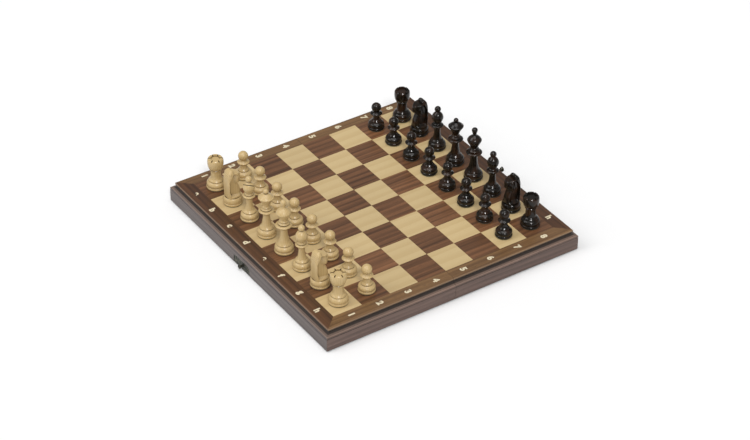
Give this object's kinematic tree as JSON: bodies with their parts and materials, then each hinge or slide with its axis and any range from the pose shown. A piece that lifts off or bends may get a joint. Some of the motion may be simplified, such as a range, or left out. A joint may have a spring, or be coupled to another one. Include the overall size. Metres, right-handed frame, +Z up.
{
  "type": "chess set with folding board",
  "caption": "Folding wooden chess box lying open as a board, hinged across the middle, with a hook latch and a full set of turned, felted chessmen set out for play.",
  "frame": {"origin": "centre of the open board, on the surface it lies on", "axes": "+Z up from the playing surface, +Y from the white side to the black side across the fold, +X from the a-file to the h-file"},
  "size_m": [0.3, 0.3086, 0.0865],
  "materials": {
    "plywood": "sanded ply edge",
    "maple": "satin lacquer over maple veneer",
    "walnut": "satin lacquer over walnut",
    "felt": "short wool nap",
    "old_brass": "antiqued, satin",
    "boxwood": "waxed satin",
    "ebonised_boxwood": "stained dark and polished to a gloss"
  },
  "bodies": {
    "white_half": {"white_panel_core": "plywood", "white_light_squares": "maple", "white_dark_squares": "walnut", "white_border": "walnut", "white_side_rail_left": "walnut", "white_side_rail_right": "walnut", "white_end_rail": "walnut", "white_hinge_rail": "walnut", "white_felt_lining": "felt", "white_hinge_leaves": "old_brass", "white_screws": "old_brass", "hinge_pins": "old_brass", "latch_knob_plate": "old_brass", "latch_knob": "old_brass"},
    "black_half": {"black_panel_core": "plywood", "black_light_squares": "maple", "black_dark_squares": "walnut", "black_border": "walnut", "black_side_rail_left": "walnut", "black_side_rail_right": "walnut", "black_end_rail": "walnut", "black_hinge_rail": "walnut", "black_felt_lining": "felt", "black_hinge_leaves": "old_brass", "black_screws": "old_brass", "latch_pivot_plate": "old_brass", "latch_pivot_screw": "old_brass"},
    "hook": {"latch_hook": "old_brass"},
    "white_rook_a_man": {"white_rook_a": "boxwood"},
    "white_knight_b_man": {"white_knight_b": "boxwood"},
    "white_bishop_c_man": {"white_bishop_c": "boxwood"},
    "white_queen_man": {"white_queen": "boxwood"},
    "white_king_man": {"white_king": "boxwood"},
    "white_bishop_f_man": {"white_bishop_f": "boxwood"},
    "white_knight_g_man": {"white_knight_g": "boxwood"},
    "white_rook_h_man": {"white_rook_h": "boxwood"},
    "white_pawn_a_man": {"white_pawn_a": "boxwood"},
    "white_pawn_b_man": {"white_pawn_b": "boxwood"},
    "white_pawn_c_man": {"white_pawn_c": "boxwood"},
    "white_pawn_d_man": {"white_pawn_d": "boxwood"},
    "white_pawn_e_man": {"white_pawn_e": "boxwood"},
    "white_pawn_f_man": {"white_pawn_f": "boxwood"},
    "white_pawn_g_man": {"white_pawn_g": "boxwood"},
    "white_pawn_h_man": {"white_pawn_h": "boxwood"},
    "black_rook_a_man": {"black_rook_a": "ebonised_boxwood"},
    "black_knight_b_man": {"black_knight_b": "ebonised_boxwood"},
    "black_bishop_c_man": {"black_bishop_c": "ebonised_boxwood"},
    "black_queen_man": {"black_queen": "ebonised_boxwood"},
    "black_king_man": {"black_king": "ebonised_boxwood"},
    "black_bishop_f_man": {"black_bishop_f": "ebonised_boxwood"},
    "black_knight_g_man": {"black_knight_g": "ebonised_boxwood"},
    "black_rook_h_man": {"black_rook_h": "ebonised_boxwood"},
    "black_pawn_a_man": {"black_pawn_a": "ebonised_boxwood"},
    "black_pawn_b_man": {"black_pawn_b": "ebonised_boxwood"},
    "black_pawn_c_man": {"black_pawn_c": "ebonised_boxwood"},
    "black_pawn_d_man": {"black_pawn_d": "ebonised_boxwood"},
    "black_pawn_e_man": {"black_pawn_e": "ebonised_boxwood"},
    "black_pawn_f_man": {"black_pawn_f": "ebonised_boxwood"},
    "black_pawn_g_man": {"black_pawn_g": "ebonised_boxwood"},
    "black_pawn_h_man": {"black_pawn_h": "ebonised_boxwood"}
  },
  "joints": [
    {"name": "fold", "type": "hinge", "parent": "white_half", "child": "black_half", "pos_m": [0, 0, 0.0012], "axis": [-1, 0, 0], "range_deg": [0, 180]},
    {"name": "hook_turn", "type": "hinge", "parent": "black_half", "child": "hook", "pos_m": [0.0065, 0.15205, 0.00725], "axis": [0, -1, 0], "range_deg": [0, 159.68]},
    {"name": "lift_white_rook_a", "type": "slide", "parent": "white_half", "child": "white_rook_a_man", "axis": [0, 0, 1], "range_m": [0, 0.07]},
    {"name": "lift_white_knight_b", "type": "slide", "parent": "white_half", "child": "white_knight_b_man", "axis": [0, 0, 1], "range_m": [0, 0.07]},
    {"name": "lift_white_bishop_c", "type": "slide", "parent": "white_half", "child": "white_bishop_c_man", "axis": [0, 0, 1], "range_m": [0, 0.07]},
    {"name": "lift_white_queen", "type": "slide", "parent": "white_half", "child": "white_queen_man", "axis": [0, 0, 1], "range_m": [0, 0.07]},
    {"name": "lift_white_king", "type": "slide", "parent": "white_half", "child": "white_king_man", "axis": [0, 0, 1], "range_m": [0, 0.07]},
    {"name": "lift_white_bishop_f", "type": "slide", "parent": "white_half", "child": "white_bishop_f_man", "axis": [0, 0, 1], "range_m": [0, 0.07]},
    {"name": "lift_white_knight_g", "type": "slide", "parent": "white_half", "child": "white_knight_g_man", "axis": [0, 0, 1], "range_m": [0, 0.07]},
    {"name": "lift_white_rook_h", "type": "slide", "parent": "white_half", "child": "white_rook_h_man", "axis": [0, 0, 1], "range_m": [0, 0.07]},
    {"name": "lift_white_pawn_a", "type": "slide", "parent": "white_half", "child": "white_pawn_a_man", "axis": [0, 0, 1], "range_m": [0, 0.07]},
    {"name": "lift_white_pawn_b", "type": "slide", "parent": "white_half", "child": "white_pawn_b_man", "axis": [0, 0, 1], "range_m": [0, 0.07]},
    {"name": "lift_white_pawn_c", "type": "slide", "parent": "white_half", "child": "white_pawn_c_man", "axis": [0, 0, 1], "range_m": [0, 0.07]},
    {"name": "lift_white_pawn_d", "type": "slide", "parent": "white_half", "child": "white_pawn_d_man", "axis": [0, 0, 1], "range_m": [0, 0.07]},
    {"name": "lift_white_pawn_e", "type": "slide", "parent": "white_half", "child": "white_pawn_e_man", "axis": [0, 0, 1], "range_m": [0, 0.07]},
    {"name": "lift_white_pawn_f", "type": "slide", "parent": "white_half", "child": "white_pawn_f_man", "axis": [0, 0, 1], "range_m": [0, 0.07]},
    {"name": "lift_white_pawn_g", "type": "slide", "parent": "white_half", "child": "white_pawn_g_man", "axis": [0, 0, 1], "range_m": [0, 0.07]},
    {"name": "lift_white_pawn_h", "type": "slide", "parent": "white_half", "child": "white_pawn_h_man", "axis": [0, 0, 1], "range_m": [0, 0.07]},
    {"name": "lift_black_rook_a", "type": "slide", "parent": "black_half", "child": "black_rook_a_man", "axis": [0, 0, 1], "range_m": [0, 0.07]},
    {"name": "lift_black_knight_b", "type": "slide", "parent": "black_half", "child": "black_knight_b_man", "axis": [0, 0, 1], "range_m": [0, 0.07]},
    {"name": "lift_black_bishop_c", "type": "slide", "parent": "black_half", "child": "black_bishop_c_man", "axis": [0, 0, 1], "range_m": [0, 0.07]},
    {"name": "lift_black_queen", "type": "slide", "parent": "black_half", "child": "black_queen_man", "axis": [0, 0, 1], "range_m": [0, 0.07]},
    {"name": "lift_black_king", "type": "slide", "parent": "black_half", "child": "black_king_man", "axis": [0, 0, 1], "range_m": [0, 0.07]},
    {"name": "lift_black_bishop_f", "type": "slide", "parent": "black_half", "child": "black_bishop_f_man", "axis": [0, 0, 1], "range_m": [0, 0.07]},
    {"name": "lift_black_knight_g", "type": "slide", "parent": "black_half", "child": "black_knight_g_man", "axis": [0, 0, 1], "range_m": [0, 0.07]},
    {"name": "lift_black_rook_h", "type": "slide", "parent": "black_half", "child": "black_rook_h_man", "axis": [0, 0, 1], "range_m": [0, 0.07]},
    {"name": "lift_black_pawn_a", "type": "slide", "parent": "black_half", "child": "black_pawn_a_man", "axis": [0, 0, 1], "range_m": [0, 0.07]},
    {"name": "lift_black_pawn_b", "type": "slide", "parent": "black_half", "child": "black_pawn_b_man", "axis": [0, 0, 1], "range_m": [0, 0.07]},
    {"name": "lift_black_pawn_c", "type": "slide", "parent": "black_half", "child": "black_pawn_c_man", "axis": [0, 0, 1], "range_m": [0, 0.07]},
    {"name": "lift_black_pawn_d", "type": "slide", "parent": "black_half", "child": "black_pawn_d_man", "axis": [0, 0, 1], "range_m": [0, 0.07]},
    {"name": "lift_black_pawn_e", "type": "slide", "parent": "black_half", "child": "black_pawn_e_man", "axis": [0, 0, 1], "range_m": [0, 0.07]},
    {"name": "lift_black_pawn_f", "type": "slide", "parent": "black_half", "child": "black_pawn_f_man", "axis": [0, 0, 1], "range_m": [0, 0.07]},
    {"name": "lift_black_pawn_g", "type": "slide", "parent": "black_half", "child": "black_pawn_g_man", "axis": [0, 0, 1], "range_m": [0, 0.07]},
    {"name": "lift_black_pawn_h", "type": "slide", "parent": "black_half", "child": "black_pawn_h_man", "axis": [0, 0, 1], "range_m": [0, 0.07]}
  ]
}
